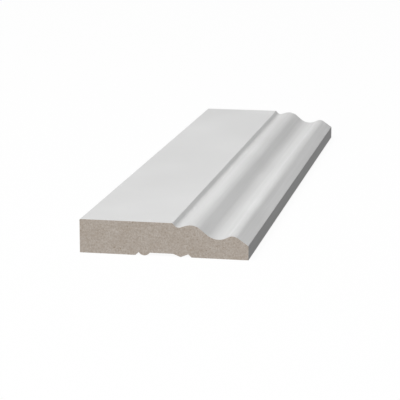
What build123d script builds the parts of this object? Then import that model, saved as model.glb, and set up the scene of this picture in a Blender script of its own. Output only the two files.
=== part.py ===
from build123d import *
import os

# A skirting board, moulded from one piece of medium-density fibreboard and coated white.
# It lies on its back with the moulded face up. X runs across the board from the floor edge
# to the top edge, Y along its length and Z out of the wall. All sizes are in millimetres
# and all angles in degrees.

# Stock
board_length = 380.0
board_width = 95.0
board_thickness = 19.0
arris_radius = 0.5

# Moulding, in order from the flat face to the top edge
quirk_angle = 48.0
quirk_run = 1.9
quirk_radius = 3.0
bead_rise_angle = 18.0
bead_rise_run = 3.1
bead_radius = 8.8
ogee_angle = 39.5
ogee_run = 4.8
cove_radius = 9.9
cap_rise_angle = 31.5
cap_radius = 5.1
slope_angle = 34.5
slope_run = 7.3

# Clip groove along the middle of the back. A round rib and a vee rib are left standing in it,
# as high as the back.
groove_width = 31.7
groove_depth = 1.65
groove_side_run = 1.8
notch_width = 0.2
round_rib_width = 6.1
vee_rib_width = 8.4

# The moulding is drawn from the arris where the face breaks into the quirk. Each arc leaves
# the piece before it without a corner.
with BuildLine() as moulding:
    quirk = PolarLine((0, 0), quirk_run, -quirk_angle)
    quirk_cove = JernArc(quirk @ 1, quirk % 1, quirk_radius, quirk_angle + bead_rise_angle)
    bead_rise = PolarLine(quirk_cove @ 1, bead_rise_run, bead_rise_angle)
    bead = JernArc(bead_rise @ 1, bead_rise % 1, bead_radius, -bead_rise_angle - ogee_angle)
    ogee = PolarLine(bead @ 1, ogee_run, -ogee_angle)
    cove = JernArc(ogee @ 1, ogee % 1, cove_radius, ogee_angle + cap_rise_angle)
    cap = JernArc(cove @ 1, cove % 1, cap_radius, -cap_rise_angle - slope_angle)
    slope = PolarLine(cap @ 1, slope_run, -slope_angle)

# It ends at the top edge, and the flat face takes the rest of the width.
half_width = board_width / 2
moulding_run = slope @ 1
face_arris = Vector(half_width - moulding_run.X, board_thickness)
top_arris = face_arris + moulding_run
floor_arris = Vector(-half_width, board_thickness)

# Roots of the groove's sides and of the two ribs beside them
groove_side = groove_width / 2
groove_root = groove_side - groove_side_run
round_rib_outer = notch_width - groove_root
round_rib_inner = round_rib_outer + round_rib_width
vee_rib_outer = groove_root - notch_width
vee_rib_inner = vee_rib_outer - vee_rib_width

with BuildPart() as skirting_board:
    with BuildSketch(Plane.XZ) as section:
        with BuildLine() as outline:
            with Locations(face_arris):
                add(moulding.line)
            Polyline(
                top_arris,
                (half_width, 0),
                (groove_side, 0),
                (groove_root, groove_depth),
                (vee_rib_outer, groove_depth),
                ((vee_rib_outer + vee_rib_inner) / 2, 0),
                (vee_rib_inner, groove_depth),
                (round_rib_inner, groove_depth),
            )
            ThreePointArc(
                (round_rib_inner, groove_depth),
                ((round_rib_inner + round_rib_outer) / 2, 0),
                (round_rib_outer, groove_depth),
            )
            Polyline(
                (round_rib_outer, groove_depth),
                (-groove_root, groove_depth),
                (-groove_side, 0),
                (-half_width, 0),
                floor_arris,
                face_arris,
            )
        make_face()
        eased = [section.vertices().sort_by_distance(p)[0] for p in (floor_arris, face_arris, top_arris)]
        fillet(eased, arris_radius)
    extrude(amount=board_length / 2, both=True)

os.makedirs("parts", exist_ok=True)
skirting_board.part.label = "skirting_board"
export_step(skirting_board.part, "parts/skirting_board.step")
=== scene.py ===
import math

import bpy
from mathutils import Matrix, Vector


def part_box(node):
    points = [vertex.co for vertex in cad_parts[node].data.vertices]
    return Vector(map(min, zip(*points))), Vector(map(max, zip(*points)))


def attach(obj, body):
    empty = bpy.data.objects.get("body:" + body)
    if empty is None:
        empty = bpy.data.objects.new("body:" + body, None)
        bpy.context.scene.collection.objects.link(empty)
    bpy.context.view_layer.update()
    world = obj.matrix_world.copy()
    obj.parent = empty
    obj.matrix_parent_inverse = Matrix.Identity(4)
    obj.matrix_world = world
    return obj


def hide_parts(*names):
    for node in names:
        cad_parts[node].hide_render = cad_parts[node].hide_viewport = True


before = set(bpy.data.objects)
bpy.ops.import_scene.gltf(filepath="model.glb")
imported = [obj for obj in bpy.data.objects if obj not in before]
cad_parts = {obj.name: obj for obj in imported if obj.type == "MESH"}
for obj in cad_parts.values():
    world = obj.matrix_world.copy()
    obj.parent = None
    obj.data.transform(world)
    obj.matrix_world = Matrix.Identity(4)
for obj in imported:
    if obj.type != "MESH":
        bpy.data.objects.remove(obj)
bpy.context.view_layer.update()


# Skirting board: one length of medium-density fibreboard, run through a moulder that cuts the
# face and the clip groove in the back, then coated white and sawn square at both ends.
# The coating covers the face and both long edges. The back and the sawn ends are bare.

board_low, board_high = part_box("skirting_board")
board_length = board_high.y - board_low.y

# The section's sizes, as the board is made to them.
arris_radius = 0.0005
quirk_angle = math.radians(48.0)
quirk_run = 0.0019
quirk_radius = 0.003
bead_rise_angle = math.radians(18.0)
bead_rise_run = 0.0031
bead_radius = 0.0088
ogee_angle = math.radians(39.5)
ogee_run = 0.0048
cove_radius = 0.0099
cap_rise_angle = math.radians(31.5)
cap_radius = 0.0051
slope_angle = math.radians(34.5)
slope_run = 0.0073
groove_side = 0.01585
groove_depth = 0.00165
groove_side_run = 0.0018
notch_width = 0.0002
round_rib_width = 0.0061
vee_rib_width = 0.0084

# The moulding's reach across the board from the arris, which puts its far end on the top edge.
moulding_reach = (
    quirk_run * math.cos(quirk_angle)
    + quirk_radius * (math.sin(quirk_angle) + math.sin(bead_rise_angle))
    + bead_rise_run * math.cos(bead_rise_angle)
    + bead_radius * (math.sin(bead_rise_angle) + math.sin(ogee_angle))
    + ogee_run * math.cos(ogee_angle)
    + cove_radius * (math.sin(ogee_angle) + math.sin(cap_rise_angle))
    + cap_radius * (math.sin(cap_rise_angle) + math.sin(slope_angle))
    + slope_run * math.cos(slope_angle)
)
face_arris = Vector((board_high.x - moulding_reach, board_low.y, board_high.z))

# A plane shrunk to one point at the arris, from which the outline of the near end is drawn.
bpy.ops.object.select_all(action="DESELECT")
bpy.ops.mesh.primitive_plane_add(size=board_length)
board = bpy.context.object
board.name = board.data.name = "moulded_board"
bpy.ops.object.mode_set(mode="EDIT")
bpy.ops.mesh.select_mode(type="VERT")
bpy.ops.mesh.merge(type="CENTER")
bpy.ops.transform.translate(value=face_arris)
outline_end = face_arris.copy()
arc_step = math.radians(3.0)


def draw_to(x, z):
    """Draws the outline on to a point in a straight line."""
    target = Vector((x, board_low.y, z))
    bpy.ops.mesh.extrude_vertices_move(TRANSFORM_OT_translate={"value": target - outline_end})
    outline_end[:] = target


def draw_straight(run, heading):
    """Draws the outline on by a straight run, at an angle above the face."""
    draw_to(outline_end.x + run * math.cos(heading), outline_end.z + run * math.sin(heading))


def draw_arc(radius, heading, turned):
    """Draws the outline on round an arc that takes it from one heading to another."""
    side = math.copysign(radius, turned - heading)
    centre = outline_end + side * Vector((-math.sin(heading), 0, math.cos(heading)))
    steps = math.ceil(abs(turned - heading) / arc_step)
    bpy.ops.mesh.spin(steps=steps, angle=turned - heading, center=centre, axis=(0, 1, 0))
    outline_end[:] = centre + side * Vector((math.sin(turned), 0, -math.cos(turned)))


# The moulded face, from the quirk to the top edge.
draw_straight(quirk_run, -quirk_angle)
draw_arc(quirk_radius, -quirk_angle, bead_rise_angle)
draw_straight(bead_rise_run, bead_rise_angle)
draw_arc(bead_radius, bead_rise_angle, -ogee_angle)
draw_straight(ogee_run, -ogee_angle)
draw_arc(cove_radius, -ogee_angle, cap_rise_angle)
draw_arc(cap_radius, cap_rise_angle, -slope_angle)
draw_straight(slope_run, -slope_angle)
top_arris = outline_end.copy()

# The top edge, and the back as far as the inner side of the vee rib.
groove_root = groove_side - groove_side_run
groove_ceiling = board_low.z + groove_depth
vee_rib_outer = groove_root - notch_width
draw_to(board_high.x, board_low.z)
draw_to(groove_side, board_low.z)
draw_to(groove_root, groove_ceiling)
draw_to(vee_rib_outer, groove_ceiling)
draw_to(vee_rib_outer - vee_rib_width / 2, board_low.z)
draw_to(vee_rib_outer - vee_rib_width, groove_ceiling)

# The round rib, an arc over its width and height, and the rest of the way round to the arris.
rib_radius = (round_rib_width**2 / 4 + groove_depth**2) / (2 * groove_depth)
rib_lean = math.asin(round_rib_width / 2 / rib_radius)
draw_to(notch_width - groove_root + round_rib_width, groove_ceiling)
draw_arc(rib_radius, -math.pi + rib_lean, -math.pi - rib_lean)
draw_to(-groove_root, groove_ceiling)
draw_to(-groove_side, board_low.z)
draw_to(board_low.x, board_low.z)
draw_to(board_low.x, board_high.z)
draw_to(face_arris.x, face_arris.z)

# The outline is closed and filled, and drawn out to the far end in short lengths.
same_point = 1e-6
length_steps = 20
bpy.ops.mesh.select_all(action="SELECT")
bpy.ops.mesh.remove_doubles(threshold=same_point)
bpy.ops.mesh.edge_face_add()
for step in range(length_steps):
    bpy.ops.mesh.extrude_region_move(
        TRANSFORM_OT_translate={"value": (0, board_length / length_steps, 0)}
    )
bpy.ops.mesh.select_all(action="SELECT")
bpy.ops.mesh.normals_make_consistent(inside=False)

# The three long arrises that the coating runs over are eased.
close_by = 1e-5
arris_segments = 4
arrises = (
    (Vector((board_low.x, 0, board_high.z)), math.pi / 2),
    (face_arris, quirk_angle),
    (top_arris, math.pi / 2 - slope_angle),
)
bpy.ops.mesh.select_mode(type="EDGE")
for arris, turn in arrises:
    bpy.ops.mesh.select_all(action="DESELECT")
    bpy.ops.object.mode_set(mode="OBJECT")
    points = board.data.vertices
    for edge in board.data.edges:
        edge.select = all(
            math.hypot(points[i].co.x - arris.x, points[i].co.z - arris.z) < close_by
            for i in edge.vertices
        )
    bpy.ops.object.mode_set(mode="EDIT")
    setback = arris_radius * math.tan(turn / 2)
    bpy.ops.mesh.bevel(offset=setback, segments=arris_segments, affect="EDGES")


def select_faces(wanted):
    """Selects the board's faces that pass a test, and nothing else."""
    bpy.ops.mesh.select_all(action="DESELECT")
    bpy.ops.object.mode_set(mode="OBJECT")
    for face in board.data.polygons:
        face.select = wanted(face)
    bpy.ops.object.mode_set(mode="EDIT")


end_facing = 0.7


def is_end(face):
    """Tells whether a face is part of a sawn end."""
    return abs(face.normal.y) > end_facing


# The sawn ends are cut into a fine net of faces, which takes the relief of their loose fibres.
net_pitch = 0.00045
bpy.ops.mesh.select_mode(type="FACE")
for axis, reach in ((0, board_high.x - board_low.x), (2, board_high.z - board_low.z)):
    cuts = round(reach / net_pitch)
    for cut in range(1, cuts):
        cut_place = board_low.copy()
        cut_place[axis] += reach * cut / cuts
        cut_normal = Vector((0, 0, 0))
        cut_normal[axis] = 1
        select_faces(is_end)
        bpy.ops.mesh.bisect(plane_co=cut_place, plane_no=cut_normal)
bpy.ops.object.mode_set(mode="OBJECT")

fibre_clump = 0.0018
fibre_relief = 0.00012
sawn_points = [
    point.index
    for point in board.data.vertices
    if min(point.co.y - board_low.y, board_high.y - point.co.y) < close_by
]
sawn_ends = board.vertex_groups.new(name="sawn_ends")
sawn_ends.add(sawn_points, 1.0, "REPLACE")
loose_fibres = bpy.data.textures.new("loose_fibres", "CLOUDS")
loose_fibres.noise_scale = fibre_clump
loose_fibres.noise_depth = 1
relief = board.modifiers.new("loose_fibres", "DISPLACE")
relief.texture = loose_fibres
relief.texture_coords = "LOCAL"
relief.direction = "Y"
relief.vertex_group = "sawn_ends"
relief.strength = fibre_relief
bpy.ops.object.modifier_apply(modifier="loose_fibres")

# The arcs are shaded smooth, up to the corners, and the flats stay flat beside them.
corner_angle = math.radians(30.0)
bpy.ops.object.shade_smooth_by_angle(angle=corner_angle)
even_flats = board.modifiers.new("even_flats", "WEIGHTED_NORMAL")
even_flats.keep_sharp = True
bpy.ops.object.modifier_apply(modifier="even_flats")


# The finishes are built from these few steps. An input takes a value or another node's output.
def add_node(tree, kind, inputs=None, **settings):
    """Adds a node, sets it up and joins its inputs."""
    node = tree.nodes.new("ShaderNode" + kind)
    for name, value in settings.items():
        setattr(node, name, value)
    for name, value in (inputs or {}).items():
        if isinstance(value, bpy.types.NodeSocket):
            tree.links.new(value, node.inputs[name])
        else:
            node.inputs[name].default_value = value
    return node


def add_maths(tree, operation, *values, clamp=False):
    """Returns the result of one step of arithmetic."""
    inputs = dict(enumerate(values))
    return add_node(tree, "Math", inputs, operation=operation, use_clamp=clamp).outputs["Value"]


def add_swing(tree, pattern, amount, onto):
    """Returns a value with a pattern's swing to either side of its middle put onto it."""
    return add_maths(tree, "MULTIPLY_ADD", add_maths(tree, "SUBTRACT", pattern, 0.5), amount, onto)


def add_rise(tree, value, low, high):
    """Returns a smooth rise from 0 at low to 1 at high, or a fall if low is the higher."""
    limits = {"Value": value, "From Min": low, "From Max": high}
    return add_node(tree, "MapRange", limits, interpolation_type="SMOOTHSTEP").outputs["Result"]


def add_noise(tree, vector, scale, detail, roughness=0.5, distortion=0.0):
    """Returns a cloudy pattern with so many clouds to a unit of length."""
    sizes = {"Vector": vector, "Scale": scale, "Detail": detail}
    edges = {"Roughness": roughness, "Distortion": distortion}
    return add_node(tree, "TexNoise", sizes | edges).outputs["Fac"]


def add_ramp(tree, value, dark, light):
    """Returns a colour between two, as a value goes from 0 to 1."""
    ramp = add_node(tree, "ValToRGB", {"Fac": value})
    for stop, colour in zip(ramp.color_ramp.elements, (dark, light)):
        stop.color = (*colour, 1)
    return ramp.outputs["Color"]


def new_group(name, size, results):
    """Starts a node group that takes a place and one size, and returns it with its two ends."""
    group = bpy.data.node_groups.new(name, "ShaderNodeTree")
    group.interface.new_socket("Vector", in_out="INPUT", socket_type="NodeSocketVector")
    group.interface.new_socket(size, in_out="INPUT", socket_type="NodeSocketFloat")
    for output in results:
        group.interface.new_socket(output, in_out="OUTPUT", socket_type="NodeSocketFloat")
    taken = group.nodes.new("NodeGroupInput").outputs
    given = group.nodes.new("NodeGroupOutput").inputs
    return group, taken, given


def in_sizes(group, vector, size):
    """Returns a place measured in sizes instead of metres."""
    measure = {"Vector": vector, "Scale": add_maths(group, "DIVIDE", 1.0, size)}
    return add_node(group, "VectorMath", measure, operation="SCALE").outputs["Vector"]


def start_finish(name):
    """Makes a material, and returns it with its tree and its shader."""
    finish = bpy.data.materials.new(name)
    finish.use_nodes = True
    return finish, finish.node_tree, finish.node_tree.nodes["Principled BSDF"]


# Length lines: what a cutter or a sanding belt leaves along the board.
drawn_out = (1, 0.012, 1)
length_lines, taken, given = new_group("length_lines", "Pitch", ["Lines"])
stretched = add_node(length_lines, "Mapping", {"Vector": taken["Vector"], "Scale": drawn_out})
pitches = in_sizes(length_lines, stretched.outputs["Vector"], taken["Pitch"])
length_lines.links.new(add_noise(length_lines, pitches, 1.0, detail=3.0), given["Lines"])

# Pressed fibre: fine grains in faint patches, with pale curled fibres and dark flecks of bark.
# It is turned askew, so that no face cuts its pattern square.
askew_turn = (0.6, 0.9, 0.4)
patches_per_grain = 0.13
patch_bare = 0.35
patch_full = 0.65
curls_per_grain = 0.34
curl_wander = 2.6
curl_width = 0.05
flecks_per_grain = 0.5
fleck_edge = 0.4
fleck_core = 0.15
no_fleck_below = 0.88
fleck_above = 0.92
grain_contrast = 2.1
patch_contrast = 0.2
fibre_lightening = 0.3
fleck_darkening = -0.45
fibre_height = 0.25

pressed_fibre, taken, given = new_group("pressed_fibre", "Grain", ["Tone", "Height"])
askew = add_node(pressed_fibre, "Mapping", {"Vector": taken["Vector"], "Rotation": askew_turn})
in_grains = in_sizes(pressed_fibre, askew.outputs["Vector"], taken["Grain"])
grains = add_noise(pressed_fibre, in_grains, 1.0, detail=4.0, roughness=0.7)
patches = add_noise(pressed_fibre, in_grains, patches_per_grain, detail=2.0)
curls = add_noise(pressed_fibre, in_grains, curls_per_grain, detail=1.0, distortion=curl_wander)
off_curl = add_maths(pressed_fibre, "ABSOLUTE", add_maths(pressed_fibre, "SUBTRACT", curls, 0.5))
on_curl = add_rise(pressed_fibre, off_curl, curl_width, 0.0)
in_patch = add_rise(pressed_fibre, patches, patch_bare, patch_full)
fibres = add_maths(pressed_fibre, "MULTIPLY", on_curl, in_patch)

wander = add_node(pressed_fibre, "TexNoise", {"Vector": in_grains, "Scale": 1.0}).outputs["Color"]
frayed = add_node(pressed_fibre, "VectorMath", {0: in_grains, 1: wander}, operation="ADD")
fleck_cells = {"Vector": frayed.outputs["Vector"], "Scale": flecks_per_grain}
bark = add_node(pressed_fibre, "TexVoronoi", fleck_cells).outputs
drawn_lot = add_node(pressed_fibre, "SeparateColor", {"Color": bark["Color"]}).outputs["Red"]
is_fleck = add_rise(pressed_fibre, drawn_lot, no_fleck_below, fleck_above)
in_fleck = add_rise(pressed_fibre, bark["Distance"], fleck_edge, fleck_core)
flecks = add_maths(pressed_fibre, "MULTIPLY", in_fleck, is_fleck)

tone = add_swing(pressed_fibre, grains, grain_contrast, 0.5)
tone = add_swing(pressed_fibre, patches, patch_contrast, tone)
tone = add_maths(pressed_fibre, "MULTIPLY_ADD", fibres, fibre_lightening, tone)
tone = add_maths(pressed_fibre, "MULTIPLY_ADD", flecks, fleck_darkening, tone, clamp=True)
pressed_fibre.links.new(tone, given["Tone"])
raised = add_maths(pressed_fibre, "MULTIPLY_ADD", fibres, fibre_height, grains)
pressed_fibre.links.new(raised, given["Height"])

# Satin white coating: sprayed, so it has a faint orange peel and clouds. On the moulding it shows
# the cutter's lines and is a little rougher, and its colour is darker there as painted shade.
coat_dark = (0.58, 0.579, 0.575)
coat_light = (0.74, 0.741, 0.739)
coat_tone = 0.68
coat_roughness = 0.45
peels_per_metre = 850.0
peel_height = 0.3
clouds_per_metre = 26.0
cloud_contrast = 0.37
cloud_sheen = 0.25
cutter_pitch = 0.0022
moulding_start = face_arris.x - 0.0002
moulding_full = face_arris.x + 0.0006
moulding_painted_shade = -0.25
moulding_dulling = 0.05

coating, tree, shader = start_finish("satin_white_coating")
shader.inputs["IOR"].default_value = 1.45
place = add_node(tree, "TexCoord").outputs["Object"]
peel = add_noise(tree, place, peels_per_metre, detail=2.0)
clouds = add_noise(tree, place, clouds_per_metre, detail=3.0)
across = add_node(tree, "SeparateXYZ", {"Vector": place}).outputs["X"]
moulded = add_rise(tree, across, moulding_start, moulding_full)
cutter = add_node(tree, "Group", {"Pitch": cutter_pitch, "Vector": place}, node_tree=length_lines)
cutter_swing = add_maths(tree, "SUBTRACT", cutter.outputs["Lines"], 0.5)
lined = add_maths(tree, "MULTIPLY", cutter_swing, moulded)

white = add_swing(tree, clouds, cloud_contrast, coat_tone)
# Painted shade: the colour is made darker on the moulding and top edge, to tone down their lit
# flanks.
white = add_maths(tree, "MULTIPLY_ADD", moulded, moulding_painted_shade, white)
white = add_maths(tree, "ADD", lined, white, clamp=True)
white = add_ramp(tree, white, coat_dark, coat_light)
tree.links.new(white, shader.inputs["Base Color"])
sheen = add_swing(tree, clouds, cloud_sheen, coat_roughness)
sheen = add_maths(tree, "MULTIPLY_ADD", moulded, moulding_dulling, sheen)
tree.links.new(sheen, shader.inputs["Roughness"])
film = add_maths(tree, "MULTIPLY_ADD", peel, peel_height, lined)
skin = add_node(tree, "Bump", {"Strength": 0.7, "Distance": 0.00008, "Height": film})
tree.links.new(skin.outputs["Normal"], shader.inputs["Normal"])

# Sawn fibreboard: the open fibre of the cut ends.
sawn_dark = (0.472, 0.388, 0.31)
sawn_light = (0.738, 0.674, 0.61)
sawn_grain = 0.0009

sawn, tree, shader = start_finish("sawn_fibreboard")
shader.inputs["Roughness"].default_value = 0.92
shader.inputs["Specular IOR Level"].default_value = 0.2
place = add_node(tree, "TexCoord").outputs["Object"]
fibre = add_node(tree, "Group", {"Grain": sawn_grain, "Vector": place}, node_tree=pressed_fibre)
brown = add_ramp(tree, fibre.outputs["Tone"], sawn_dark, sawn_light)
tree.links.new(brown, shader.inputs["Base Color"])
fuzz_height = fibre.outputs["Height"]
fuzz = add_node(tree, "Bump", {"Strength": 0.5, "Distance": 0.0001, "Height": fuzz_height})
tree.links.new(fuzz.outputs["Normal"], shader.inputs["Normal"])

# Sanded fibreboard: the back and its groove, closer than a cut end, with the belt's lines along it
# and a haze of overspray beside the two long edges.
sanded_dark = (0.37, 0.307, 0.25)
sanded_light = (0.6, 0.517, 0.439)
sanded_grain = 0.0008
sanded_roughness = 0.77
belt_pitch = 0.0006
belt_contrast = 0.9
belt_sheen = 0.3
overspray_white = (0.7, 0.7, 0.695, 1)
overspray_cover = 0.8
overspray_reach = 0.0012
overspray_rags = 0.003
rags_per_metre = 240.0

sanded, tree, shader = start_finish("sanded_fibreboard")
shader.inputs["Specular IOR Level"].default_value = 0.3
place = add_node(tree, "TexCoord").outputs["Object"]
fibre = add_node(tree, "Group", {"Grain": sanded_grain, "Vector": place}, node_tree=pressed_fibre)
belt = add_node(tree, "Group", {"Pitch": belt_pitch, "Vector": place}, node_tree=length_lines)
rubbed = add_swing(tree, belt.outputs["Lines"], belt_contrast, fibre.outputs["Tone"])
tan_fibre = add_ramp(tree, rubbed, sanded_dark, sanded_light)
across = add_node(tree, "SeparateXYZ", {"Vector": place}).outputs["X"]
off_middle = add_maths(tree, "ABSOLUTE", across)
ragged = add_noise(tree, place, rags_per_metre, detail=4.0)
edgewise = add_maths(tree, "MULTIPLY_ADD", ragged, overspray_rags, off_middle)
haze = add_rise(tree, edgewise, board_high.x - overspray_reach, board_high.x + overspray_reach)
haze = add_maths(tree, "MULTIPLY", haze, overspray_cover)
under_colour = 6
over_colour = 7
mixed_colour = 2
layers = {"Factor": haze, under_colour: tan_fibre, over_colour: overspray_white}
hazed = add_node(tree, "Mix", layers, data_type="RGBA").outputs[mixed_colour]
tree.links.new(hazed, shader.inputs["Base Color"])
sheen = add_swing(tree, belt.outputs["Lines"], belt_sheen, sanded_roughness)
tree.links.new(sheen, shader.inputs["Roughness"])
nap = add_node(tree, "Bump", {"Strength": 0.3, "Distance": 0.00006, "Height": rubbed})
tree.links.new(nap.outputs["Normal"], shader.inputs["Normal"])


back_facing = -0.05


def is_back(face):
    """Tells whether a face is part of the back or its groove."""
    return face.normal.z < back_facing and not is_end(face)


# The coating goes on first and all over, then the two bare finishes on their own faces.
for finish in (coating, sawn, sanded):
    board.data.materials.append(finish)
bpy.ops.object.mode_set(mode="EDIT")
for slot, wanted in ((1, is_end), (2, is_back)):
    select_faces(wanted)
    board.active_material_index = slot
    bpy.ops.object.material_slot_assign()
bpy.ops.object.mode_set(mode="OBJECT")

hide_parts("skirting_board")
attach(board, "root")


# Floor: a plain white studio table, lit through from below, so that the board throws little
# shadow. It shows from above alone, and lets through the light on the board's back.

table_size = 30.0
table_glow = 0.94
bpy.ops.object.select_all(action="DESELECT")
bpy.ops.mesh.primitive_plane_add(size=table_size, location=(0, 0, board_low.z))
floor = bpy.context.object
floor.name = "studio_table"
table_white, tree, shader = start_finish("lit_white_table")
shader.inputs["Base Color"].default_value = (0.05, 0.05, 0.05, 1)
shader.inputs["Roughness"].default_value = 1.0
shader.inputs["Specular IOR Level"].default_value = 0.0
shader.inputs["Emission Color"].default_value = (1, 1, 1, 1)
shader.inputs["Emission Strength"].default_value = table_glow
unlit_side = add_node(tree, "NewGeometry").outputs["Backfacing"]
lit = shader.outputs["BSDF"]
clear = add_node(tree, "BsdfTransparent").outputs["BSDF"]
one_sided = add_node(tree, "MixShader", {0: unlit_side, 1: lit, 2: clear}).outputs["Shader"]
tree.links.new(one_sided, tree.nodes["Material Output"].inputs["Surface"])
floor.data.materials.append(table_white)
floor.visible_diffuse = False
floor.visible_glossy = False
floor.visible_shadow = False


# Backdrop: a white sheet hung well behind the board, which its satin coating mirrors at a low
# angle. The camera sees only that sheen, and not the sheet.

sheet_width = 12.0
sheet_height = 5.0
sheet_distance = 5.0
sheet_glow = 0.34
bpy.ops.object.select_all(action="DESELECT")
bpy.ops.mesh.primitive_plane_add(
    size=1.0,
    location=(0, sheet_distance, sheet_height / 2),
    rotation=(math.pi / 2, 0, 0),
)
sheet = bpy.context.object
sheet.name = "white_backdrop"
sheet.scale = (sheet_width, sheet_height, 1.0)
sheet_white, tree, shader = start_finish("white_sheet")
shader.inputs["Base Color"].default_value = (0, 0, 0, 1)
shader.inputs["Specular IOR Level"].default_value = 0.0
shader.inputs["Emission Color"].default_value = (1, 1, 1, 1)
shader.inputs["Emission Strength"].default_value = sheet_glow
sheet.data.materials.append(sheet_white)
sheet.visible_camera = False
sheet.visible_diffuse = False


# Light: a broad soft light from the front left, a weak low one on the far end, another on the back
# that comes up through the table, and an even light from all round.


def add_softbox(name, towards, distance, size, energy):
    """Stands a square soft light off from the board in one direction, facing it, and returns it."""
    bpy.ops.object.light_add(type="AREA", location=towards * distance)
    softbox = bpy.context.object
    softbox.name = name
    softbox.rotation_euler = towards.to_track_quat("Z", "Y").to_euler()
    softbox.data.size = size
    softbox.data.energy = energy
    return softbox


key_side = Vector((-0.31, -0.42, 0.853))
far_side = Vector((0, 0.999, 0.03))
back_side = Vector((-0.2, 0.15, -0.968))
add_softbox("soft_key", key_side, distance=4.8, size=2.6, energy=232.0)
far_fill = add_softbox("far_end_fill", far_side, distance=4.0, size=1.6, energy=42.0)
far_fill.visible_glossy = False
add_softbox("back_fill", back_side, distance=4.0, size=1.6, energy=66.0)

# The room is white to the camera, and dimmer as a light.
room_light = 0.284
world = bpy.data.worlds.new("studio")
bpy.context.scene.world = world
world.use_nodes = True
tree = world.node_tree
dim_room = tree.nodes["Background"]
dim_room.inputs["Color"].default_value = (1, 1, 1, 1)
dim_room.inputs["Strength"].default_value = room_light
dim = dim_room.outputs["Background"]
white_room = add_node(tree, "Background", {"Color": (1, 1, 1, 1), "Strength": 1.0})
bright = white_room.outputs["Background"]
seen = add_node(tree, "LightPath").outputs["Is Camera Ray"]
room = add_node(tree, "MixShader", {0: seen, 1: dim, 2: bright}).outputs["Shader"]
tree.links.new(room, tree.nodes["World Output"].inputs["Surface"])
bpy.context.scene.view_settings.view_transform = "Standard"


# Camera: a little above the board and to its right, with a long lens, as in the photograph.
# It looks along the board from the near sawn end.

camera_place = (0.1969, -1.0922, 0.2356)
camera_dip = math.radians(12.45)
camera_turn = math.radians(11.06)
camera_rotation = (math.pi / 2 - camera_dip, 0, camera_turn)
bpy.ops.object.camera_add(location=camera_place, rotation=camera_rotation)
camera = bpy.context.object
camera.data.sensor_width = 36.0
camera.data.lens = 155.5
camera.data.clip_start = 0.01
camera.data.clip_end = 100.0
bpy.context.scene.camera = camera
